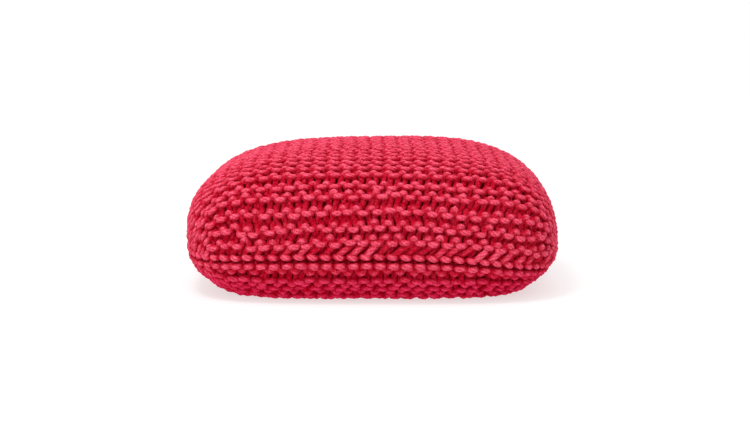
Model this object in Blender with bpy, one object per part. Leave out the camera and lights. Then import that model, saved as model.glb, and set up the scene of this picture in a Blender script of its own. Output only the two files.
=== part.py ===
"""Knitted pouf: two square garter-stitch panels, sewn together round the sides and filled.

Metres, +Z up. The origin is on the floor under the middle. The knitted rows run along X,
and the front side faces -Y. The yarn itself isn't modelled: each garter ridge is one rib.
"""

import math

import bmesh
import bpy
import numpy as np

# Filled shape, over the crests of the ribs
WIDTH = 0.500  # side to side
DEPTH = 0.500  # front to back
HEIGHT = 0.1925
WIDEST_AT = 0.0575  # height of the widest line of the sides
PLAN_POWER = 4.2  # of the rounded square seen from above; 2 would be a circle
CROWN_POWER = 2.9  # of the sides above the widest line
FLANK_POWER = 1.7  # of the sides below it
BASE_SHARE = 0.73  # the flat base's share of the width

# Lie of the knitting on that shape
ROW_POWERS = (4.1, 2.2)  # how squarely the rows run, in the panel's middle and towards the seam
ROWS_BEND_AT = 0.64  # how far out they have the second power
CORNER_TURN = math.radians(16)  # of the front right corner, to the side
TURN_ENDS = math.radians(60)  # how far back along that side it is felt
TURN_FADE = 5.0  # how fast it fades towards the panel's middle
ROW_SAGS = (
    # where the top's front rows lie lower: side, depth, the shares of half the panel between
    # which it grows, and its share of the depth at distances from the front seam
    (-1, 0.0051, 0.02, 0.47, ((0.0, 0.0), (0.012, 0.15), (0.0275, 1.0), (0.0464, 0.75), (0.0672, 0.5), (0.0911, 0.4), (0.13, 0.2), (0.2, 0.0))),
    (1, 0.0040, 0.0, 0.60, ((0.0, 0.0), (0.012, 0.0), (0.0275, 0.3), (0.0464, 0.6), (0.0672, 1.0), (0.0911, 1.0), (0.13, 0.9), (0.2, 0.6), (0.3, 0.0))),
)
SEAM_DROP = 0.001  # how far the seam lies below the widest line
SEAM_WANDERS = (
    # where it lies lower still, at the front corners: depth, direction, spread
    (0.0265, math.radians(-32.5), math.radians(26)),
    (0.006, math.radians(-140), math.radians(18)),
)
SEAM_PULL = 2.0  # how fast the rows beside it stop following it

# Relief
RIB_DEPTH = 0.0045  # from a rib's crest to the hollow beside it
SEAM_WIDTH = 0.0024
EDGE_ROLL = (
    # the rolled edge of a panel: distance from the seam, relief
    (0.0, -0.0055),
    (0.004, 0.0),
    (0.014, 0.0),
    (0.019, -RIB_DEPTH),
)
RIB_SHOULDER = 0.28  # of a rib's width, from either hollow
TOP_FRONT_RIBS = (0.019, 0.020, 0.022, 0.022, 0.021, 0.021, 0.018, 0.018, 0.0175, 0.018)
TOP_RIB = 0.0192  # every rib behind those
BOTTOM_RIB = 0.0223
BASE_FADE = 0.022  # how far up the flank the ribs grow to full depth

# Unevenness of the filling: middle of a swelling or a hollow, its reach, its rise
SWELLINGS = (
    # x, y, z, reach, rise
    (-0.150, 0.040, 0.170, 0.110, -0.0032),
    (0.100, -0.060, 0.187, 0.090, -0.0020),
    (0.150, 0.080, 0.170, 0.100, 0.0016),
    (-0.060, -0.130, 0.180, 0.090, -0.0016),
    (-0.250, -0.080, 0.100, 0.060, 0.0024),
    (0.250, -0.080, 0.105, 0.035, -0.0020),
)
SWELLING_FADE = 0.045  # above the seam, over which they reach their full rise

TOP_COLUMNS = 24  # stretches between the edge rolls, along a rib
COLUMN_CROWDING = 0.25  # how much they crowd towards the sides
BASE_COLUMNS = 8  # stretches under the flat base
FLANK_COLUMNS = 4  # and from its rim to the edge roll
PROFILE_STEPS = 600
SLOPE_REACH = 0.0005  # to either side, when the surface's slope is taken
LINE_MARGIN = 0.0005  # within which a line still counts as the edge roll's
FLAT_ANGLE = math.radians(0.1)  # under it, the base's faces are joined
SHARP_ANGLE = math.radians(60)  # over it, an edge is shaded sharp
SMALL = 1e-6
COTTON_RED = (0.745, 0.030, 0.080)
COTTON_ROUGHNESS = 0.9


def meridian():
    """Tables of arc length, plan radius (1 at the widest line) and height from the top's
    middle, over the side, to the base's middle, measured along the X axis."""
    turn = np.linspace(0.0, math.pi / 2, PROFILE_STEPS)
    out, up = np.sin(turn), np.cos(turn)
    crown_r = out ** (2 / CROWN_POWER)
    crown_z = WIDEST_AT + (HEIGHT - WIDEST_AT) * up ** (2 / CROWN_POWER)
    flank_r = BASE_SHARE + (1 - BASE_SHARE) * up ** (2 / FLANK_POWER)
    flank_z = WIDEST_AT * (1 - out ** (2 / FLANK_POWER))
    radius = np.concatenate([crown_r, flank_r[1:], [0.0]])
    height = np.concatenate([crown_z, flank_z[1:], [0.0]])
    steps = np.hypot(np.diff(radius) * WIDTH / 2, np.diff(height))
    return np.concatenate([[0.0], np.cumsum(steps)]), radius, height


ARC, RADIUS, LEVEL = meridian()
CROWN_ARC = float(ARC[PROFILE_STEPS - 1])  # top's middle to the widest line
WHOLE_ARC = float(ARC[-1])  # top's middle to the base's middle
BASE_ARC = WHOLE_ARC - BASE_SHARE * WIDTH / 2  # top's middle to the base's rim


def norm(x, y, power):
    return (abs(x) ** power + abs(y) ** power) ** (1 / power)


def place_on_panel(u, v):
    """For a point of the flat square panel, u and v from -1 to 1: how far out it lies, 0 to 1
    at the seam, and in which direction, as plan coordinates on the rounded square."""
    if max(abs(u), abs(v)) < SMALL:
        return 0.0, 0.0, 0.0
    across, along = (abs(share) / max(1 - abs(share), SMALL) for share in (u, v))
    rough = math.hypot(across, along)
    middle, edge = ROW_POWERS
    power = middle + (edge - middle) * grown(rough / (1 + rough) / ROWS_BEND_AT)
    far = norm(across, along, power)
    out = far / (1 + far)
    dx, dy = turned(u, v, out)
    plan = norm(dx, dy, PLAN_POWER)
    return out, dx / plan, dy / plan


def turned(u, v, out):
    """The direction of u and v, with the panel's front right corner turned to the side."""
    angle = math.atan2(v, u)
    corner = -math.pi / 4
    before = (angle + math.pi / 2) / (corner + math.pi / 2)
    behind = (TURN_ENDS - angle) / (TURN_ENDS - corner)
    angle += CORNER_TURN * out**TURN_FADE * grown(min(before, behind))
    return math.cos(angle), math.sin(angle)


def grown(share):
    share = min(max(share, 0.0), 1.0)
    return share * share * (3 - 2 * share)


def sagged(u, v):
    """v, where the top's front rows lie lower."""
    for side, depth, start, end, along in ROW_SAGS:
        distances, shares = zip(*along)
        share = float(np.interp((1 + v) * CROWN_ARC, distances, shares))
        v -= depth * grown((side * u - start) / (end - start)) * share / CROWN_ARC
    return v


def seam_drop(out, dx, dy):
    """How far the wandering seam draws down a place, out of 1, in this direction."""
    drop = SEAM_DROP
    for depth, at, spread in SEAM_WANDERS:
        off = math.remainder(math.atan2(dy, dx) - at, 2 * math.pi)
        drop += depth * math.exp(-((off / spread) ** 2))
    return drop * out**SEAM_PULL


def swelling(point):
    return sum(
        rise * math.exp(-sum((point - (x, y, z)) ** 2) / reach**2)
        for x, y, z, reach, rise in SWELLINGS
    )


def on_shape(arc, dx, dy, relief):
    """The point at this arc length and direction, moved out along the surface normal."""
    radius, level = np.interp(arc, ARC, RADIUS), np.interp(arc, ARC, LEVEL)
    ahead, behind = min(arc + SLOPE_REACH, WHOLE_ARC), max(arc - SLOPE_REACH, 0.0)
    outward = np.interp(ahead, ARC, RADIUS) - np.interp(behind, ARC, RADIUS)
    falling = np.interp(behind, ARC, LEVEL) - np.interp(ahead, ARC, LEVEL)
    point = np.array((dx * radius * WIDTH / 2, dy * radius * DEPTH / 2, level))
    normal = np.array(
        (
            math.copysign(abs(dx) ** (PLAN_POWER - 1), dx) * falling / (WIDTH / 2),
            math.copysign(abs(dy) ** (PLAN_POWER - 1), dy) * falling / (DEPTH / 2),
            outward,
        )
    )
    if arc < CROWN_ARC:
        relief += swelling(point) * grown((CROWN_ARC - arc) / SWELLING_FADE)
    return point + normal * (relief / np.linalg.norm(normal))


def edge_relief(from_seam, rib_relief):
    """The edge roll covers the ribs' ends all round the panel."""
    distances, reliefs = zip(*EDGE_ROLL)
    if from_seam > distances[-1] + LINE_MARGIN:
        return rib_relief
    return float(np.interp(from_seam, distances, reliefs))


def top_point(u, v, relief):
    out, dx, dy = place_on_panel(u, v)
    relief = edge_relief((1 - out) * (CROWN_ARC + seam_drop(out, dx, dy)), relief)
    out, dx, dy = place_on_panel(u, sagged(u, v))
    return on_shape(out * (CROWN_ARC + seam_drop(out, dx, dy)), dx, dy, relief)


def bottom_point(u, v, relief):
    out, dx, dy = place_on_panel(u, v)
    reach = WHOLE_ARC - CROWN_ARC - seam_drop(out, dx, dy)
    arc = WHOLE_ARC - out * reach
    growth = min(max((BASE_ARC - arc) / BASE_FADE, 0.0), 1.0)
    return on_shape(arc, dx, dy, edge_relief((1 - out) * reach, relief) * growth)


def edge_lines(half_arc):
    """Places of the edge roll's lines, from -1 at the seam."""
    return [-1 + distance / half_arc for distance, _ in EDGE_ROLL]


def mirrored(places):
    return [-place for place in reversed(places)]


def rows_of(half_arc, front_ribs, rib):
    """Lines across the ribs, front to back, with their relief: two shoulders and a hollow
    for each rib, between the front and the back edge roll."""
    edge = edge_lines(half_arc)
    start = EDGE_ROLL[-1][0]
    left = 2 * (half_arc - start) - sum(front_ribs)
    count = round(left / rib)
    lines = [(place, 0.0) for place in edge]
    for width in [*front_ribs, *[left / count] * count]:
        for share, relief in ((RIB_SHOULDER, 0.0), (1 - RIB_SHOULDER, 0.0), (1.0, -RIB_DEPTH)):
            lines.append((-1 + (start + share * width) / half_arc, relief))
        start += width
    return lines[:-1] + [(place, 0.0) for place in mirrored(edge)]


def top_columns():
    """Lines along the ribs, left to right, crowding towards the sides."""
    edge = edge_lines(CROWN_ARC)
    between = np.linspace(-1, 1, TOP_COLUMNS + 1)[1:-1]
    crowded = (1 + COLUMN_CROWDING) * between - COLUMN_CROWDING * between**3
    return edge + list(-edge[-1] * crowded) + mirrored(edge)


def bottom_columns():
    edge = edge_lines(WHOLE_ARC - CROWN_ARC)
    rim = (WHOLE_ARC - BASE_ARC) / (WHOLE_ARC - CROWN_ARC)
    flank = list(np.linspace(edge[-1], -rim, FLANK_COLUMNS + 1)[1:-1])
    base = list(np.linspace(-rim, rim, BASE_COLUMNS + 1))
    return edge + flank + base + mirrored(edge + flank)


def add_panel(bm, columns, rows, point_on):
    """A grid over the square panel, one vertex where each pair of lines cross."""
    across, along = len(columns) - 1, len(rows) - 1
    grid = bmesh.ops.create_grid(bm, x_segments=across, y_segments=along, size=1.0)
    for vert in grid["verts"]:
        u = columns[round((vert.co.x + 1) / 2 * across)]
        v, relief = rows[round((vert.co.y + 1) / 2 * along)]
        vert.co = point_on(u, v, relief)


def open_seam(bm):
    """Parts the two panels' edges by the seam's width, so that a strip can join them."""
    rim = {vert for edge in bm.edges if edge.is_boundary for vert in edge.verts}
    for vert in rim:
        faces_up = vert.link_faces[0].calc_center_median().z > vert.co.z
        vert.co.z += SEAM_WIDTH / 2 if faces_up else -SEAM_WIDTH / 2


def build_pouf():
    bm = bmesh.new()
    top_rows = rows_of(CROWN_ARC, TOP_FRONT_RIBS, TOP_RIB)
    bottom_rows = rows_of(WHOLE_ARC - CROWN_ARC, (), BOTTOM_RIB)
    add_panel(bm, top_columns(), top_rows, top_point)
    add_panel(bm, bottom_columns(), bottom_rows, bottom_point)
    open_seam(bm)
    bmesh.ops.bridge_loops(bm, edges=[edge for edge in bm.edges if edge.is_boundary])
    base = [vert for vert in bm.verts if abs(vert.co.z) < SMALL]
    for vert in base:
        vert.co.z = 0.0
    bmesh.ops.dissolve_limit(
        bm,
        angle_limit=FLAT_ANGLE,
        verts=base,
        edges=[edge for edge in bm.edges if all(vert.co.z == 0.0 for vert in edge.verts)],
    )
    bmesh.ops.recalc_face_normals(bm, faces=bm.faces)
    mesh = bpy.data.meshes.new("pouf")
    bm.to_mesh(mesh)
    bm.free()
    mesh.shade_smooth()
    mesh.set_sharp_from_angle(angle=SHARP_ANGLE)
    pouf = bpy.data.objects.new("pouf", mesh)
    bpy.context.scene.collection.objects.link(pouf)
    return pouf


def cotton_cord():
    material = bpy.data.materials.new("cotton_cord")
    material.use_nodes = True
    shader = material.node_tree.nodes["Principled BSDF"]
    shader.inputs["Base Color"].default_value = (*COTTON_RED, 1.0)
    shader.inputs["Roughness"].default_value = COTTON_ROUGHNESS
    shader.inputs["Metallic"].default_value = 0.0
    return material


for old in list(bpy.data.objects):
    bpy.data.objects.remove(old, do_unlink=True)
build_pouf().data.materials.append(cotton_cord())
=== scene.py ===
import math

import bpy
import numpy as np
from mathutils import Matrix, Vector


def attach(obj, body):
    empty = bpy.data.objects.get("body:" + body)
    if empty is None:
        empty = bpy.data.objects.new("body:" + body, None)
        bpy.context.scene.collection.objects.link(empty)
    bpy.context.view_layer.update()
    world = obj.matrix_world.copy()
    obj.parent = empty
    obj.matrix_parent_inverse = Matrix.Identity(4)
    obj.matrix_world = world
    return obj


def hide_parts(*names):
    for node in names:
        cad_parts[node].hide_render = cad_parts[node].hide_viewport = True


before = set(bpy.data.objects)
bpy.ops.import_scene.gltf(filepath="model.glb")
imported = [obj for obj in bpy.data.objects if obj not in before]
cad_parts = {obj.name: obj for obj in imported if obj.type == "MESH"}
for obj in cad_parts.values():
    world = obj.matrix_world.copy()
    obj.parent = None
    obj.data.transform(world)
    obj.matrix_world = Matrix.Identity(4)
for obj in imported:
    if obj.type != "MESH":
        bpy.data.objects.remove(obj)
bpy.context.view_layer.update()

# the filled shape that the knitting lies on, over the crests of the cord; metres
shape = {
    "width": 0.500,
    "depth": 0.500,
    "height": 0.1925,
    "widestAt": 0.0575,  # height of the widest line
    "planPower": 4.2,  # rounded square seen from above
    "crownPower": 2.9,
    "flankPower": 1.7,
    "baseShare": 0.73,  # the flat base's share of the width
    "rowPowers": (4.1, 2.2),  # how squarely the rows run, in the middle and towards the seam
    "rowsBendAt": 0.64,  # how far out they have the second power
    "cornerTurn": math.radians(16),  # of the front right corner, to the side
    "turnEnds": math.radians(60),  # how far back along that side it is felt
    "turnFade": 5.0,  # how fast it fades towards the middle
    "seamDrop": 0.001,  # how far the seam lies below the widest line
    "seamWanders": (
        # where it lies lower still, at the front corners: depth, direction, spread
        (0.0265, math.radians(-32.5), math.radians(26)),
        (0.006, math.radians(-140), math.radians(18)),
    ),
    "seamPull": 2.0,  # how fast the rows beside it stop following it
    "rowSags": (
        # where the top's front rows lie lower: side, depth, where it starts and ends across,
        # distances from the front seam and shares of the depth there
        (-1, 0.0051, 0.02, 0.47, (0.0, 0.012, 0.0275, 0.0464, 0.0672, 0.0911, 0.13, 0.2),
         (0.0, 0.15, 1.0, 0.75, 0.5, 0.4, 0.2, 0.0)),
        (1, 0.0040, 0.0, 0.60, (0.0, 0.012, 0.0275, 0.0464, 0.0672, 0.0911, 0.13, 0.2, 0.3),
         (0.0, 0.0, 0.3, 0.6, 1.0, 1.0, 0.9, 0.6, 0.0)),
    ),
    "swellings": (
        # x, y, z, reach, rise
        (-0.150, 0.040, 0.170, 0.110, -0.0032),
        (0.100, -0.060, 0.187, 0.090, -0.0020),
        (0.150, 0.080, 0.170, 0.100, 0.0016),
        (-0.060, -0.130, 0.180, 0.090, -0.0016),
        (-0.250, -0.080, 0.100, 0.060, 0.0024),
        (0.250, -0.080, 0.105, 0.035, -0.0020),
    ),
    "swellingFade": 0.045,  # above the seam
    # where the weight spreads it: above the base's rim, reach, rise
    "rimSwelling": (0.022, 0.022, 0.003),
    "edgeRoll": (0.011, 0.0045),  # how near the seam the knitting rolls in, and how far
    "profileSteps": 600,
    "slopeReach": 0.0005,
}


def meridianTables():
    turn = np.linspace(0.0, math.pi / 2, shape["profileSteps"])
    out, up = np.sin(turn), np.cos(turn)
    rise = shape["height"] - shape["widestAt"]
    crownRadius = out ** (2 / shape["crownPower"])
    crownLevel = shape["widestAt"] + rise * up ** (2 / shape["crownPower"])
    flankRadius = shape["baseShare"] + (1 - shape["baseShare"]) * up ** (2 / shape["flankPower"])
    flankLevel = shape["widestAt"] * (1 - out ** (2 / shape["flankPower"]))
    radius = np.concatenate([crownRadius, flankRadius[1:], [0.0]])
    level = np.concatenate([crownLevel, flankLevel[1:], [0.0]])
    steps = np.hypot(np.diff(radius) * shape["width"] / 2, np.diff(level))
    return np.concatenate([[0.0], np.cumsum(steps)]), radius, level


arcAt, radiusAt, levelAt = meridianTables()
crownArc = float(arcAt[shape["profileSteps"] - 1])  # middle of the top to the widest line
wholeArc = float(arcAt[-1])  # middle of the top to the middle of the base
halfWidth, halfDepth = shape["width"] / 2, shape["depth"] / 2
rimArc = wholeArc - shape["baseShare"] * halfWidth  # middle of the top to the base's rim


def onShape(arc, dx, dy, relief):
    # points and unit normals, moved out by relief
    arc, dx, dy = np.broadcast_arrays(np.clip(arc, 0.0, wholeArc), dx, dy)
    radius, level = np.interp(arc, arcAt, radiusAt), np.interp(arc, arcAt, levelAt)
    ahead = np.minimum(arc + shape["slopeReach"], wholeArc)
    behind = np.maximum(arc - shape["slopeReach"], 0.0)
    outward = np.interp(ahead, arcAt, radiusAt) - np.interp(behind, arcAt, radiusAt)
    falling = np.interp(behind, arcAt, levelAt) - np.interp(ahead, arcAt, levelAt)
    power = shape["planPower"] - 1
    point = np.stack([dx * radius * halfWidth, dy * radius * halfDepth, level], -1)
    normal = np.stack([
        np.sign(dx) * np.abs(dx) ** power * falling / halfWidth,
        np.sign(dy) * np.abs(dy) ** power * falling / halfDepth,
        outward,
    ], -1)
    normal /= np.maximum(np.linalg.norm(normal, axis=-1, keepdims=True), 1e-12)
    swell = sum(
        rise * np.exp(-((point - (x, y, z)) ** 2).sum(-1) / reach**2)
        for x, y, z, reach, rise in shape["swellings"]
    )
    relief = relief + swell * grown((crownArc - arc) / shape["swellingFade"])
    above, reach, rise = shape["rimSwelling"]
    relief = relief + rise * grown(1 - np.abs(rimArc - above - arc) / reach)
    return point + normal * np.asarray(relief)[..., None], normal


def grown(share):
    share = np.clip(share, 0.0, 1.0)
    return share * share * (3 - 2 * share)


def norm(x, y, power):
    return (np.abs(x) ** power + np.abs(y) ** power) ** (1 / power)


def seamDrop(out, dx, dy):
    # how far the wandering seam draws down a place, out of 1, in this direction
    drop = shape["seamDrop"]
    for depth, at, spread in shape["seamWanders"]:
        off = (np.arctan2(dy, dx) - at + math.pi) % (2 * math.pi) - math.pi
        drop = drop + depth * np.exp(-((off / spread) ** 2))
    return drop * out ** shape["seamPull"]


def sagged(u, v):
    for side, depth, start, end, spots, shares in shape["rowSags"]:
        share = np.interp((1 + v) * crownArc, spots, shares)
        v = v - depth * grown((side * u - start) / (end - start)) * share / crownArc
    return v


def turned(u, v, out):
    # the direction of u and v, with the front right corner turned to the side
    angle, corner = np.arctan2(v, u), -math.pi / 4
    before = (angle + math.pi / 2) / (corner + math.pi / 2)
    behind = (shape["turnEnds"] - angle) / (shape["turnEnds"] - corner)
    turn = shape["cornerTurn"] * out ** shape["turnFade"]
    angle = angle + turn * grown(np.minimum(before, behind))
    return np.cos(angle), np.sin(angle)


def arcOut(panel, out, dx, dy):
    # the arc from the top's middle, and the panel's reach in that direction
    drop = seamDrop(out, dx, dy)
    if panel["top"]:
        return out * (crownArc + drop), crownArc + drop
    reach = wholeArc - crownArc - drop
    return wholeArc - out * reach, reach


def onPanel(panel, u, v, relief):
    # u and v from -1 to 1 on the flat square give points, normals and distances from the seam
    if panel["top"]:
        v = sagged(u, v)
    across, along = (np.abs(share) / np.maximum(1 - np.abs(share), 1e-6) for share in (u, v))
    rough = np.hypot(across, along)
    middle, edge = shape["rowPowers"]
    power = middle + (edge - middle) * grown(rough / (1 + rough) / shape["rowsBendAt"])
    far = norm(across, along, power)
    out = far / (1 + far)
    dx, dy = turned(u, v, out)
    plan = norm(dx, dy, shape["planPower"])
    dx, dy = dx / plan, dy / plan
    arc, reach = arcOut(panel, out, dx, dy)
    fromSeam = (1 - out) * reach
    point, normal = onShape(arc, dx, dy, relief + edgeSink(fromSeam))
    return point, normal, fromSeam


def edgeSink(fromSeam):
    # the knitting rolls in towards the seam
    reach, depth = shape["edgeRoll"]
    return -depth * np.clip(1 - fromSeam / reach, 0.0, 1.0) ** 2


# the cord and its stitches; lengths in metres, turns and leans in stitches
cord = {
    "radius": 0.0042,
    "legs": 0.98,  # thickness of the legs, where the cord is stretched
    "lift": 0.0052,  # how far a joint stands in front of or behind the middle
    "firm": 1.5,  # how evenly it stays there
    "nest": 0.0009,  # how far heads and legs part at it
    "tuck": 0.0002,  # how far the heads of a ridge lie behind its feet
    "flat": 0.35,  # how straight feet and heads lie
    "aside": 0.16,  # how far ridges lie aside in turn, in stitches
    "uneven": 0.0015,  # how far feet and heads lie from their places
    "unevenOut": 0.25,  # the share of it that stands out or in
    "slubs": (9, 0.04),  # steps between thick and thin places, and how thick, as a share
    "endShares": (0.15, 0.8),  # of the radius, where a piece of cord ends
    "turnSteps": 8,  # where a row turns back
    "turnOut": 0.28,  # how far out it swings there, in stitches
    "edgeMargin": 0.006,  # between the last stitch and the panel's edge
    "pitchEases": 0.35,  # share of half the panel over which stitches narrow to the seam
    "tables": (121, 161, 241),  # rows, places and steps across in addWales; the last is odd
    "seed": 11,
}
cordDepth = cord["radius"] + cord["lift"] + cord["nest"]  # middle of the knitting, under the crests

# the loose row beside the top's front seam, and its counterpart at the back: each loop's rising
# side lies over the other as a slanted stroke
looseRow = {
    "places": (-0.8, -0.2, 1),  # left, middle and right, as shares of half the row
    "leans": (0.10, 0.58, 0.60),  # in stitches
    "bulges": (0.45, 1.0, 1.0),
    "others": (0.45, 0.0, 0.6),  # how far forward the falling sides come, as shares
    "bulge": 0.0090,
    "varies": (0.16, 0.30),  # how unlike the loops lean and bulge
    "limits": (0.5, 1.4),  # as shares of the values above
    "legs": 1.05,  # as in cord
    "bow": 0.02,  # as in topPanel
}

topPanel = {
    "name": "top",
    "top": True,
    "half": crownArc,  # from its middle to the seam
    "pitch": 0.0187,  # width of a stitch
    "edgePitch": 0.0172,  # the same at the seam
    "edgeLines": ((0.0105, -1), (0.0195, -1)),  # joints before the first ridge, as in jointLines
    # distances from the front seam, and how far apart the ridges behind them are:
    "ridges": [0.0275, 0.0464, 0.0672, 0.0911, 0.1086, 0.1332, 0.1519, 0.1689, 0.1877, 0.2035, 0.2223],
    "ridge": 0.0193,
    "overlap": 0.0037,  # how far heads and feet pass the middle of their joint
    "bow": 0.100,  # how far a loop widens, in stitches
    # in the front rows and farther back:
    "flares": (0.095, 0.045),  # how much wider a loop's foot is than its head
    "leans": (0.04, 0.07),  # how far its head lies to the right of its foot
    "calms": (1.0, 0.5),  # how uneven and how far aside it lies, as shares
    "rowsChange": (0.08, 0.15),  # distances from the front seam between which they change
    "loose": looseRow,
    "chainAt": 0.0060,  # the cast-off edge's distance from the seam
    "barTilt": 0.0008,  # how far each of its bars runs aslant
    "barBend": 0.0004,  # how much farther from the seam its dips lie
    "bands": 4,  # pieces of cord
    "steps": 16,  # in a loop
    "sides": 8,  # round the cord
}
bottomPanel = {
    "name": "bottom",
    "top": False,
    "half": wholeArc - crownArc,
    "pitch": 0.0176,
    "edgePitch": 0.0168,
    "edgeLines": ((0.0050, -1), (0.0129, 0.8), (0.0208, -2.0)),
    "ridges": [0.0365, 0.0545, 0.0720, 0.0890],
    "ridge": 0.0221,
    "overlap": 0.0044,
    "bow": 0.130,
    "flares": (0.060, 0.060),
    "leans": (0.04, 0.04),
    "calms": (1.0, 1.0),
    "rowsChange": (0.0, 1.0),
    "loose": None,
    "chainAt": 0.0062,
    "barTilt": 0.0004,
    "barBend": 0.0042,
    "bands": 2,
    "steps": 14,
    "sides": 8,
}


def addWales(panel):
    # tables that give u for a distance along a row, so that stitches keep their width
    vs, shares, us = (np.linspace(-1, 1, size) for size in cord["tables"])
    spots = onPanel(panel, us[None, :], vs[:, None], -cordDepth)[0]
    steps = np.linalg.norm(np.diff(spots, axis=1), axis=2)
    run = np.concatenate([np.zeros((len(vs), 1)), np.cumsum(steps, axis=1)], axis=1)
    middle = len(us) // 2
    run -= run[:, middle:middle + 1]
    panel["vs"], panel["shares"] = vs, shares
    panel["left"], panel["right"] = -run[:, 0], run[:, -1]
    panel["uTable"] = np.array([
        np.interp(np.where(shares < 0, -shares * lengths[0], shares * lengths[-1]), lengths, us)
        for lengths in run
    ])


def pitchAt(panel, v):
    eased = np.clip((1 - np.abs(v)) / cord["pitchEases"], 0, 1)
    return panel["edgePitch"] + (panel["pitch"] - panel["edgePitch"]) * eased


def lay(panel, stitch, along, z):
    # a point of the cord: stitch counts from the middle, along is the way from the front seam
    v = np.clip(-1 + along / panel["half"], -1, 1)
    x = stitch * pitchAt(panel, v)
    left, right = (np.interp(v, panel["vs"], panel[side]) for side in ("left", "right"))
    limit = np.where(x < 0, left, right)
    share = np.clip(x / limit, -1, 1)
    row = (v + 1) / 2 * (len(panel["vs"]) - 1)
    column = (share + 1) / 2 * (len(panel["shares"]) - 1)
    i = np.clip(row.astype(int), 0, len(panel["vs"]) - 2)
    j = np.clip(column.astype(int), 0, len(panel["shares"]) - 2)
    a, b, t = row - i, column - j, panel["uTable"]
    here, beside = (t[i, k] * (1 - a) + t[i + 1, k] * a for k in (j, j + 1))
    u = here * (1 - b) + beside * b
    return onPanel(panel, u, v, z - cordDepth)


def jointLines(panel):
    # where rows join, front to back: 1 where the joint stands proud as a ridge, -1 in a hollow,
    # and how far it lies aside, in stitches
    whole = 2 * panel["half"]
    front = list(panel["ridges"])
    back = whole - front[0]
    count = round((back - front[-1]) / panel["ridge"])
    ridges = front + [front[-1] + (back - front[-1]) * i / count for i in range(1, count + 1)]
    lines = [*panel["edgeLines"], (ridges[0], 1)]
    for near, far in zip(ridges, ridges[1:]):
        lines += [((near + far) / 2, -1), (far, 1)]
    lines += [(whole - at, side) for at, side in reversed(panel["edgeLines"])]
    shifts = [cord["aside"] * (-1) ** (number // 2) * (number % 2 == len(panel["edgeLines"]) % 2)
              for number in range(len(lines))]
    return [(at, side, shift) for (at, side), shift in zip(lines, shifts)]


# slow unevenness of the whole knitting, as waves: size, radians for each metre along and each
# stitch across, start
wanders = {
    "across": ((0.0009, 31, 0.17, 0), (0.0006, 74, -0.31, 1)),
    "along": ((0.0008, 23, 0.42, 0), (0.0005, -41, 0.93, 2)),
    "bottomStarts": 2.0,  # later
}


def wander(panel, stitch, along):
    later = 0.0 if panel["top"] else wanders["bottomStarts"]
    across, up = (
        sum(size * np.sin(along * way + stitch * aside + start + later)
            for size, way, aside, start in wanders[waves])
        for waves in ("across", "along")
    )
    return across / panel["pitch"], up


def knitRow(panel, low, high, rng, loose=None):
    # one row of loops from the joint line low to the line high, left to right. Within a loop,
    # turn goes once round: 0 at its foot, half way at its head
    (lowAt, lowSide, lowShift), (highAt, highSide, highShift) = low, high
    middle, reach = (lowAt + highAt) / 2, (highAt - lowAt) / 2 + panel["overlap"]
    v = -1 + middle / panel["half"]
    pitch = float(pitchAt(panel, v))
    left, right = (
        int((np.interp(v, panel["vs"], panel[side]) - cord["edgeMargin"]) / pitch - 0.5)
        for side in ("left", "right")
    )
    count, steps = left + right + 1, panel["steps"]
    turn = np.arange(count * steps + 1) * 2 * math.pi / steps
    stitch = turn / (2 * math.pi) - left - 0.5
    foot = (1 + np.cos(turn)) / 2
    nest = np.where(foot > 0.5, lowSide, -highSide) * cord["nest"] * np.cos(3 * turn)
    forward = (1 + np.tanh(cord["firm"] * np.cos(turn)) / math.tanh(cord["firm"])) / 2
    z = cord["lift"] * (lowSide * forward + highSide * (1 - forward)) + nest
    if highSide > 0:
        z = z - cord["tuck"] * (1 - foot) ** 4
    flare, lean, calm = (
        np.interp(middle, panel["rowsChange"], panel[ends]) for ends in ("flares", "leans", "calms")
    )
    bow = panel["bow"]
    if loose:
        place = np.clip(stitch / max(left, right), -1, 1)
        lean, rising, falling = (
            np.interp(place, loose["places"], loose[key]) for key in ("leans", "bulges", "others")
        )
        loops, bow = np.arange(count + 1), loose["bow"]
        leans, bulges = (
            np.interp(turn / (2 * math.pi), loops, rng.normal(1, unlike, count + 1).clip(*loose["limits"]))
            for unlike in loose["varies"]
        )
        lean = lean * leans
        sides = np.where(np.sin(turn) > 0, rising, falling)
        z = z + loose["bulge"] * bulges * sides * np.sin(turn) ** 2
    flare = flare * 2 * np.sin(turn) * np.cos(turn) ** 2
    stitch = stitch + bow * np.sin(2 * turn) + flare - lean * np.cos(turn)
    stitch = stitch + calm * (lowShift * foot + highShift * (1 - foot))
    along = middle - reach * np.cos(turn) * (1 + cord["flat"] * np.sin(turn) ** 2)
    # each loop's own unevenness, carried smoothly over its feet and its head
    knots = np.arange(2 * count + 1) * steps / 2
    spots = np.arange(len(turn))
    own = [
        np.interp(spots, knots, rng.normal(0, calm * cord["uneven"], len(knots))) for _ in range(3)
    ]
    drift, rise = wander(panel, stitch, along)
    stitch = stitch + own[0] / panel["pitch"] + drift
    along = along + own[1] + rise
    z = z + own[2] * cord["unevenOut"]
    thick = 1 + ((loose or cord)["legs"] - 1) * np.sin(turn) ** 2
    return stitch, along, z, thick


def joined(rows):
    # rows run to and fro: each next one is turned round and met by a loop at the edge
    path = [np.stack(rows[0], -1)]
    for number, row in enumerate(rows[1:], 1):
        row = np.stack(row, -1)
        if number % 2:
            row = row[::-1]
        last, first = path[-1][-1], row[0]
        t = np.linspace(0, 1, cord["turnSteps"])[1:-1, None]
        loop = last + (first - last) * (1 - np.cos(math.pi * t)) / 2
        side = 1 if number % 2 else -1
        loop[:, 0] += side * cord["turnOut"] * np.sin(math.pi * t[:, 0])
        path += [loop, row]
    return np.concatenate(path)


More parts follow.
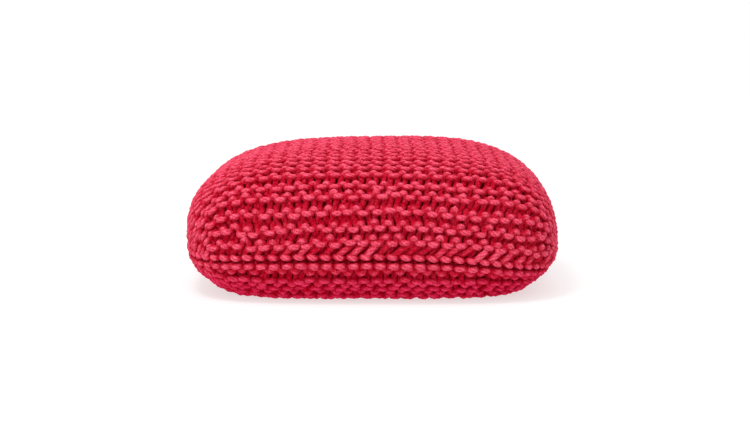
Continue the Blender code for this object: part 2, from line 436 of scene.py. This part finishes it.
def tube(name, path, normal, radius, level, sides, material):
    # a mesh of round cord. Its own map counts metres along it and turns round it, and the
    # baking map packs it in strips. A cord that ends where it starts is closed
    closed = np.allclose(path[0], path[-1], atol=1e-6)
    count = len(path)
    rings = count - 1 if closed else count
    beyond = np.concatenate([path[-2:-1], path, path[1:2]]) if closed else path
    along = np.gradient(beyond, axis=0)[1:-1] if closed else np.gradient(beyond, axis=0)
    along /= np.maximum(np.linalg.norm(along, axis=1, keepdims=True), 1e-12)
    aside = np.cross(along, normal)
    aside /= np.maximum(np.linalg.norm(aside, axis=1, keepdims=True), 1e-12)
    out = np.cross(aside, along)
    ring = np.arange(sides)
    angle = 2 * math.pi * ring / sides - math.pi / 2
    turn = angle[None, :, None]
    spokes = np.cos(turn) * aside[:, None] + np.sin(turn) * out[:, None]
    points = path[:, None] + spokes * radius[:, None, None]
    points[..., 2] = np.maximum(points[..., 2], 0.0)  # the floor flattens what rests on it
    height = level[:, None] + (spokes * normal[:, None]).sum(-1) * radius[:, None]
    levels = np.clip(1 + height / (2 * cordDepth), 0, 1)
    points, levels = points[:rings].reshape(-1, 3), levels[:rings].ravel()
    length = np.concatenate([[0], np.cumsum(np.linalg.norm(np.diff(path, axis=0), axis=1))])
    i, j = np.meshgrid(np.arange(count - 1), ring, indexing="ij")
    i, j = i.ravel(), j.ravel()
    after, ahead = (j + 1) % sides, (i + 1) % rings
    faces = np.stack([i * sides + j, ahead * sides + j, ahead * sides + after, i * sides + after], 1)
    steps = ((0, 0), (1, 0), (1, 1), (0, 1))
    run = np.stack([np.stack([length[i + a], (j + b) / sides], -1) for a, b in steps], 1)
    chunk, gap = 14, 0.04  # steps of the cord in a strip, and the share kept free beside it
    cells = math.ceil((count - 1) / chunk)
    across = max(1, round(math.sqrt(cells / 2)))  # half as many side by side as one above another
    down = math.ceil(cells / across)
    cell, share = i // chunk, i % chunk
    bake = np.stack([
        np.stack([
            (cell % across + (share + a) / chunk) / across,
            (cell // across + gap + (1 - 2 * gap) * (j + b) / sides) / down,
        ], -1)
        for a, b in steps
    ], 1)
    if not closed:
        # an end is closed by a strip of faces, which shares the maps of the faces beside it
        near, far = [-k % sides for k in range(sides // 2)], [k + 1 for k in range(sides // 2)]
        cap = np.array([(near[k], far[k], far[k + 1], near[k + 1]) for k in range(sides // 2 - 1)])
        last = (count - 2) * sides
        faces = np.concatenate([faces, cap, cap[:, ::-1] + (rings - 1) * sides])
        run = np.concatenate([run, run[:len(cap)], run[last:last + len(cap)]])
        bake = np.concatenate([bake, bake[:len(cap)], bake[last:last + len(cap)]])
    mesh = bpy.data.meshes.new(name)
    mesh.vertices.add(len(points))
    mesh.vertices.foreach_set("co", points.astype(np.float32).ravel())
    mesh.loops.add(len(faces) * 4)
    mesh.loops.foreach_set("vertex_index", faces.astype(np.int32).ravel())
    mesh.polygons.add(len(faces))
    mesh.polygons.foreach_set("loop_start", np.arange(0, len(faces) * 4, 4, dtype=np.int32))
    mesh.update(calc_edges=True)
    mesh.uv_layers.new(name="OFBake").uv.foreach_set("vector", bake.astype(np.float32).ravel())
    mesh.uv_layers.new(name="cordRun").uv.foreach_set("vector", run.astype(np.float32).ravel())
    mesh.attributes.new("level", "FLOAT", "POINT").data.foreach_set("value", levels.astype(np.float32))
    mesh.shade_smooth()
    mesh.materials.append(material)
    piece = bpy.data.objects.new(name, mesh)
    bpy.context.scene.collection.objects.link(piece)
    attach(piece, "root")
    print(name, len(faces) * 2, "triangles")
    return piece


def roundedEnds(radius):
    radius = radius.copy()
    radius[:2] *= cord["endShares"]
    radius[-2:] *= cord["endShares"][::-1]
    return radius


def knitPanel(panel, material):
    addWales(panel)
    rng = np.random.default_rng(cord["seed"] + (0 if panel["top"] else 1))
    lines = jointLines(panel)
    rows = [
        knitRow(panel, low, high, rng, panel["loose"] if number in (0, len(lines) - 2) else None)
        for number, (low, high) in enumerate(zip(lines, lines[1:]))
    ]
    pieces = []
    for band in range(panel["bands"]):
        first = band * len(rows) // panel["bands"]
        last = (band + 1) * len(rows) // panel["bands"]
        path = joined(rows[first:last])
        point, normal, fromSeam = lay(panel, path[:, 0], path[:, 1], path[:, 2])
        level = path[:, 2] - cordDepth + edgeSink(fromSeam)
        apart, thick = cord["slubs"]
        knots = np.arange(0, len(path) + apart, apart)
        slub = thick * np.interp(np.arange(len(path)), knots, rng.normal(0, 1, len(knots)))
        radius = roundedEnds(cord["radius"] * (path[:, 3] + slub))
        name = f"{panel['name']}_knit_{band + 1}"
        pieces.append(tube(name, point, normal, radius, level, panel["sides"], material))
    return pieces


class Wire:
    # a socket that takes arithmetic
    def __init__(self, sheet, socket):
        self.sheet, self.socket = sheet, socket

    def math(self, operation, *others, flipped=False):
        terms = [*others, self] if flipped else [self, *others]
        return self.sheet.node("ShaderNodeMath", {"operation": operation}, dict(enumerate(terms)))

    def __add__(self, other): return self.math("ADD", other)
    def __radd__(self, other): return self.math("ADD", other, flipped=True)
    def __sub__(self, other): return self.math("SUBTRACT", other)
    def __rsub__(self, other): return self.math("SUBTRACT", other, flipped=True)
    def __mul__(self, other): return self.math("MULTIPLY", other)
    def __rmul__(self, other): return self.math("MULTIPLY", other, flipped=True)
    def __pow__(self, other): return self.math("POWER", other)


class Sheet:
    # the nodes of a material, or of the world
    def __init__(self, name, world=None):
        self.material = world or bpy.data.materials.new(name)
        self.material.use_nodes = True
        self.tree = self.material.node_tree
        self.shader = self.tree.nodes["Background" if world else "Principled BSDF"]

    def node(self, kind, settings, sockets, output=0):
        made = self.tree.nodes.new(kind)
        for name, value in settings.items():
            setattr(made, name, value)
        for name, value in sockets.items():
            self.plug(made.inputs[name], value)
        return Wire(self, made.outputs[output])

    def plug(self, socket, value):
        if isinstance(value, Wire):
            self.tree.links.new(value.socket, socket)
        else:
            socket.default_value = value

    def mix(self, share, low, high):
        return self.node("ShaderNodeMix", {"data_type": "RGBA"}, {0: share, 6: low, 7: high}, output=2)

    def noise(self, place, scale, detail, roughness):
        return self.node(
            "ShaderNodeTexNoise", {},
            {"Vector": place, "Scale": scale, "Detail": detail, "Roughness": roughness},
        )

    def between(self, value, low, high):
        settings = {"interpolation_type": "SMOOTHSTEP"}
        return self.node("ShaderNodeMapRange", settings, {0: value, 1: low, 2: high})

    def axis(self, vector, number):
        return self.node("ShaderNodeSeparateXYZ", {}, {0: vector}, output=number)

    def bump(self, height, strength, distance):
        return self.node(
            "ShaderNodeBump", {}, {"Strength": strength, "Distance": distance, "Height": height}
        )

    def shade(self, **sockets):
        # the shader's sockets, by their names run together
        names = {socket.name.replace(" ", ""): socket for socket in self.shader.inputs}
        for name, value in sockets.items():
            self.plug(names[name[0].upper() + name[1:]], value)


cotton = {
    "red": (0.62, 0.000, 0.024, 1),
    # the painted highlight's colour, also used for pale specks and patches
    "light": (0.98, 0.165, 0.275, 1),
    "lowLight": (0.93, 0.060, 0.190, 1),  # the painted highlight's colour near the floor, deepened as painted shade where only red light comes back
    "lowEnds": (0.015, 0.055),  # heights where it starts to fade and is gone
    # painted shade in ply grooves and on the cord's sides below its crests, also the colour of dark mottle
    "groove": (0.36, 0.000, 0.008, 1),
    # painted shade, for cord that lies deep in the knitting
    "deep": (0.36, 0.000, 0.012, 1),
    # where each starts and ends, from 0 at the back of the knitting to 1 on its crests:
    "deepAt": (0.00, 0.74),
    "flankAt": (0.84, 0.965),
    "lightAt": (0.76, 1.0),
    "flankShare": 0.40,
    "lightShares": (0.50, 0.40, 0.06),  # of the painted highlight on raised places, and of pale specks and patches
    "speckShares": (0.6, 0.4),  # of mottle and fuzz
    "speckAt": (0.48, 0.64),
    "patchAt": (0.35, 0.7),
    "crestLight": 0.55,  # the share of the painted highlight kept in the grooves between plies
    "crestPower": 0.6,
    "grooveShares": (0.40, 0.35),  # of painted shade in the grooves between plies, and of dark mottle
    "darkAt": (0.48, 0.36),
    "plies": 5,
    "twist": 30,  # turns of the plies in a metre
    "fibreRuns": ((260, -3), (300, 9), (7, 0)),  # along the cord, in a metre, and round it
    # noises: scale, detail, roughness
    "fibre": (3.0, 3.0, 0.6),
    "fuzz": (1500.0, 2.0, 0.6),
    "mottle": (420.0, 2.0, 0.55),
    "patch": (24.0, 2.0, 0.5),
    "reliefs": (0.45, 0.30, 0.35, 0.80),  # of plies, fibres, fuzz and mottle
    "bump": (0.7, 0.0009),
    "roughness": 0.82,
    "fuzzRoughness": 0.12,
    "sheen": (0.03, 0.45, (1.0, 0.45, 0.60, 1)),  # weight, roughness, tint
}


def cottonCord():
    sheet = Sheet("cottonCord")
    run = sheet.node("ShaderNodeUVMap", {"uv_map": "cordRun"}, {})
    place = sheet.node("ShaderNodeTexCoord", {}, {}, output="Object")
    level = sheet.node("ShaderNodeAttribute", {"attribute_name": "level"}, {}, output=2)
    length, turn, above = sheet.axis(run, 0), sheet.axis(run, 1), sheet.axis(place, 2)
    wave = (turn * cotton["plies"] + length * (cotton["twist"] * cotton["plies"])).math("FRACT")
    ply = (wave * math.pi).math("SINE")  # 0 in a groove, 1 on a ply's crest
    crest = ply ** cotton["crestPower"]
    runs = [length * along + turn * around for along, around in cotton["fibreRuns"]]
    strand = sheet.node("ShaderNodeCombineXYZ", {}, dict(enumerate(runs)))
    fibre = sheet.noise(strand, *cotton["fibre"])
    fuzz, mottle, patch = (sheet.noise(place, *cotton[name]) for name in ("fuzz", "mottle", "patch"))
    mottled, fuzzy = cotton["speckShares"]
    # painted highlight on the crests of the knitting
    crestHighlight = sheet.between(level, *cotton["lightAt"])
    speck = sheet.between(mottle * mottled + fuzz * fuzzy, *cotton["speckAt"])
    spots = (crestHighlight, speck, sheet.between(patch, *cotton["patchAt"]))
    highlightAndSpecks = sum(spot * share for spot, share in zip(spots, cotton["lightShares"]))
    # the painted highlight is strongest on the crests of the plies
    highlightAndSpecks = highlightAndSpecks * (cotton["crestLight"] + crest * (1 - cotton["crestLight"]))
    # the highlight's colour deepens towards the floor, as painted shade
    highlightAndSpeckColour = sheet.mix(sheet.between(above, *cotton["lowEnds"]), cotton["lowLight"], cotton["light"])
    colour = sheet.mix(highlightAndSpecks, cotton["red"], highlightAndSpeckColour)
    # painted shade in the grooves between plies, and dark mottle
    plyShadeShare, darkened = cotton["grooveShares"]
    dark = (1 - crest) * plyShadeShare + sheet.between(mottle, *cotton["darkAt"]) * darkened
    colour = sheet.mix(dark, colour, cotton["groove"])
    # painted shade on the sides of the cord just below its crests
    flankShade = (1 - sheet.between(level, *cotton["flankAt"])) * cotton["flankShare"]
    colour = sheet.mix(flankShade, colour, cotton["groove"])
    # painted shade, darker the deeper the cord lies in the knitting
    colour = sheet.mix(sheet.between(level, *cotton["deepAt"]), cotton["deep"], colour)
    height = sum(relief * share for relief, share in zip((crest, fibre, fuzz, mottle), cotton["reliefs"]))
    weight, roughness, tint = cotton["sheen"]
    sheet.shade(baseColor=colour, roughness=cotton["roughness"] + cotton["fuzzRoughness"] * fuzz,
                normal=sheet.bump(height, *cotton["bump"]), specularIORLevel=0.0,
                sheenWeight=weight, sheenRoughness=roughness, sheenTint=tint)
    return sheet.material


inner = {
    # darker reds than the cord: painted shade between the stitches
    "dark": (0.24, 0.000, 0.004, 1),
    "pale": (0.36, 0.001, 0.010, 1),
    "weave": (900.0, 2.0, 0.6),  # scale, detail, roughness
    "bump": (0.4, 0.0006),
    "roughness": 0.95,
}


def innerClothPaintedShade():
    # what shows between the stitches: the stuffed body's cloth, coloured darker than the cord as painted
    # shade between the stitches
    sheet = Sheet("innerClothPaintedShade")
    place = sheet.node("ShaderNodeTexCoord", {}, {}, output="Object")
    weave = sheet.noise(place, *inner["weave"])
    sheet.shade(baseColor=sheet.mix(weave, inner["dark"], inner["pale"]), roughness=inner["roughness"],
                normal=sheet.bump(weave, *inner["bump"]), specularIORLevel=0.0)
    return sheet.material


seam = {
    "pitch": 0.0170,
    "dip": 0.0085,
    "dipPower": 4,  # how narrow the dips are
    "thickness": (0.78, 0.24),  # of the cord, as shares: in the dips, and more in the bars
    "uneven": (0.0004, 0.0005, 0.03),  # in depth, in distance from the seam and in thickness
    "measured": 1600,  # steps in which the way round is measured
    "steps": 12,
    "sides": 8,
    "seed": 5,
}


def direction(side):
    # side counts the sides of the square from the front left corner, anticlockwise
    side = np.asarray(side) % 4
    which, share = side.astype(int), (side % 1) * 2 - 1
    u = np.choose(which, [share, np.ones_like(share), -share, -np.ones_like(share)])
    v = np.choose(which, [-np.ones_like(share), share, np.ones_like(share), -share])
    plan = norm(u, v, shape["planPower"])
    return u / plan, v / plan


def nearSeam(panel, side, away, relief):
    # points and normals at a distance from the seam, on the panel's side of it
    dx, dy = direction(side)
    arc, _ = arcOut(panel, 1 - away / panel["half"], dx, dy)
    return onShape(arc, dx, dy, relief)


def roundSeam(panel):
    # even steps round the pouf, beside the seam
    sides = np.linspace(0, 4, seam["measured"] + 1)
    spots = nearSeam(panel, sides, panel["chainAt"], 0.0)[0]
    run = np.concatenate([[0], np.cumsum(np.linalg.norm(np.diff(spots, axis=0), axis=1))])
    count = round(run[-1] / seam["pitch"])
    return np.interp(np.linspace(0, run[-1], count * seam["steps"] + 1), run, sides)


def seamChain(panel, material):
    # the cast-off edge: a bar for each stitch, dipping in between
    sides = roundSeam(panel)
    rng = np.random.default_rng(seam["seed"] + (0 if panel["top"] else 1))
    phase = np.arange(len(sides)) / seam["steps"]
    count = round(phase[-1])
    own = rng.normal(0, 1, (count + 1, 3))
    own[-1] = own[0]
    own = np.stack([np.interp(phase, np.arange(count + 1), own[:, k]) for k in range(3)], 1)
    wave = 1 - np.abs(np.cos(math.pi * phase)) ** seam["dipPower"]
    deep, aside, thick = (own * seam["uneven"]).T
    z = -cord["radius"] - seam["dip"] * (1 - wave) + deep
    beside = panel["barTilt"] * np.sin(2 * math.pi * phase) + panel["barBend"] * (1 - wave) + aside
    point, normal = nearSeam(panel, sides, panel["chainAt"] + beside, z)
    least, more = seam["thickness"]
    radius = cord["radius"] * (least + more * wave + thick)
    tube(f"{panel['name']}_edge_chain", point, normal, radius, z, seam["sides"], material)


core = {
    "depth": 0.0144,  # under the crests
    "rimDepth": 0.0052,  # beside the base's rim, where the weight presses the stitches together
    "rimAbove": 0.008,  # the height over the rim where that is so
    "rimReach": 0.012,  # how far it is felt up and down
    "aboveFloor": 0.0005,
    "around": 144,
    "along": 96,
}


def fillCore(material):
    # the stuffed body that the knitting lies on
    dx, dy = direction(np.arange(core["around"]) * 4 / core["around"])
    arc = wholeArc * (1 - np.cos(np.pi * np.linspace(0, 1, core["along"] + 1)[1:-1])) / 2
    pressed = grown(1 - np.abs(rimArc - core["rimAbove"] - arc) / core["rimReach"])
    depth = core["depth"] + (core["rimDepth"] - core["depth"]) * pressed
    grid, _ = onShape(arc[:, None], dx[None, :], dy[None, :], -depth[:, None])
    ends, _ = onShape(np.array([0.0, wholeArc]), np.zeros(2), np.zeros(2), -core["depth"])
    ends[0, 2], ends[1, 2] = grid[0, :, 2].mean(), core["depth"]
    points = np.concatenate([grid.reshape(-1, 3), ends])
    points[:, 2] = np.maximum(points[:, 2], core["aboveFloor"])
    n, rings = core["around"], len(arc)
    faces = [
        (r * n + c, (r + 1) * n + c, (r + 1) * n + (c + 1) % n, r * n + (c + 1) % n)
        for r in range(rings - 1) for c in range(n)
    ]
    faces += [(rings * n, c, (c + 1) % n) for c in range(n)]
    faces += [(rings * n + 1, (rings - 1) * n + (c + 1) % n, (rings - 1) * n + c) for c in range(n)]
    mesh = bpy.data.meshes.new("stuffed_core")
    mesh.from_pydata(points.tolist(), [], faces)
    mesh.update()
    mesh.shade_smooth()
    mesh.materials.append(material)
    piece = bpy.data.objects.new("stuffed_core", mesh)
    bpy.context.scene.collection.objects.link(piece)
    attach(piece, "root")


view = {
    "distance": 2.6,
    "elevation": 6.77,  # degrees
    "aimedAt": (0.0, 0.0, 0.1),
    "focal": 1867.7,  # pixels of the 750 pixel wide frame
    "frame": (750, 440),
    "aimShownAt": (372.5, 205.1),
    "sensor": 36.0,
}


def addCamera():
    camera = bpy.data.objects.new("camera", bpy.data.cameras.new("camera"))
    bpy.context.scene.collection.objects.link(camera)
    rise = math.radians(view["elevation"])
    back = Vector((0, -math.cos(rise), math.sin(rise))) * view["distance"]
    camera.location = Vector(view["aimedAt"]) + back
    camera.rotation_euler = (math.pi / 2 - rise, 0, 0)
    wide, high = view["frame"]
    camera.data.sensor_width = view["sensor"]
    camera.data.lens = view["focal"] * view["sensor"] / wide
    camera.data.shift_x = (wide / 2 - view["aimShownAt"][0]) / wide
    camera.data.shift_y = (view["aimShownAt"][1] - high / 2) / wide
    bpy.context.scene.camera = camera


stage = {
    "reach": 400,
    "colour": (0.40, 0.40, 0.40, 1),
    "glow": 0.62,
    "roughness": 0.9,
    "specular": 0.1,
}


def addStage():
    floor, far = bpy.data.meshes.new("floor"), stage["reach"]
    corners = [(-far, -far, 0), (far, -far, 0), (far, far, 0), (-far, far, 0)]
    floor.from_pydata(corners, [], [(0, 1, 2, 3)])
    sheet = Sheet("paleFloor")
    sheet.shade(baseColor=stage["colour"], emissionColor=(1, 1, 1, 1), emissionStrength=stage["glow"],
                roughness=stage["roughness"], specularIORLevel=stage["specular"])
    floor.materials.append(sheet.material)
    ground = bpy.data.objects.new("floor", floor)
    bpy.context.scene.collection.objects.link(ground)


light = {
    "lowSky": 0.28,
    "highSky": 1.35,
    "horizon": 1.0,
    "horizonEnds": (0.12, 0.22),  # sines of heights above the horizon
    "highStarts": (0.25, 0.90),
    "aimedAt": (0, 0, 0.08),
    "areas": (
        # name, place, size, power
        ("overhead", (-0.5, -0.9, 1.9), 0.6, 14),
        ("front", (-1.5, -2.6, 0.85), 1.0, 15),
    ),
}


def addLights():
    world = bpy.data.worlds.new("studio")
    bpy.context.scene.world = world
    sheet = Sheet(None, world)
    upward = sheet.axis(sheet.node("ShaderNodeTexCoord", {}, {}), 2)
    high = sheet.between(upward, *light["highStarts"]) * (light["highSky"] - light["lowSky"])
    band = sheet.between(upward, *reversed(light["horizonEnds"])) * (light["horizon"] - light["lowSky"])
    sheet.shade(color=(1, 1, 1, 1), strength=light["lowSky"] + high + band)
    for name, place, size, power in light["areas"]:
        lamp = bpy.data.lights.new(name, "AREA")
        lamp.shape, lamp.size, lamp.energy = "DISK", size, power
        holder = bpy.data.objects.new(name, lamp)
        holder.location = place
        aim = Vector(light["aimedAt"]) - holder.location
        holder.rotation_euler = aim.to_track_quat("-Z", "Y").to_euler()
        bpy.context.scene.collection.objects.link(holder)
    bpy.context.scene.view_settings.view_transform = "Standard"


addCamera()
addStage()
addLights()
print("stage set")
cordMaterial = cottonCord()
topPieces = knitPanel(topPanel, cordMaterial)
knitPanel(bottomPanel, cordMaterial)
print("panels knitted")
for panel in (topPanel, bottomPanel):
    seamChain(panel, cordMaterial)
fillCore(innerClothPaintedShade())
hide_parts("pouf")
print("pouf filled")
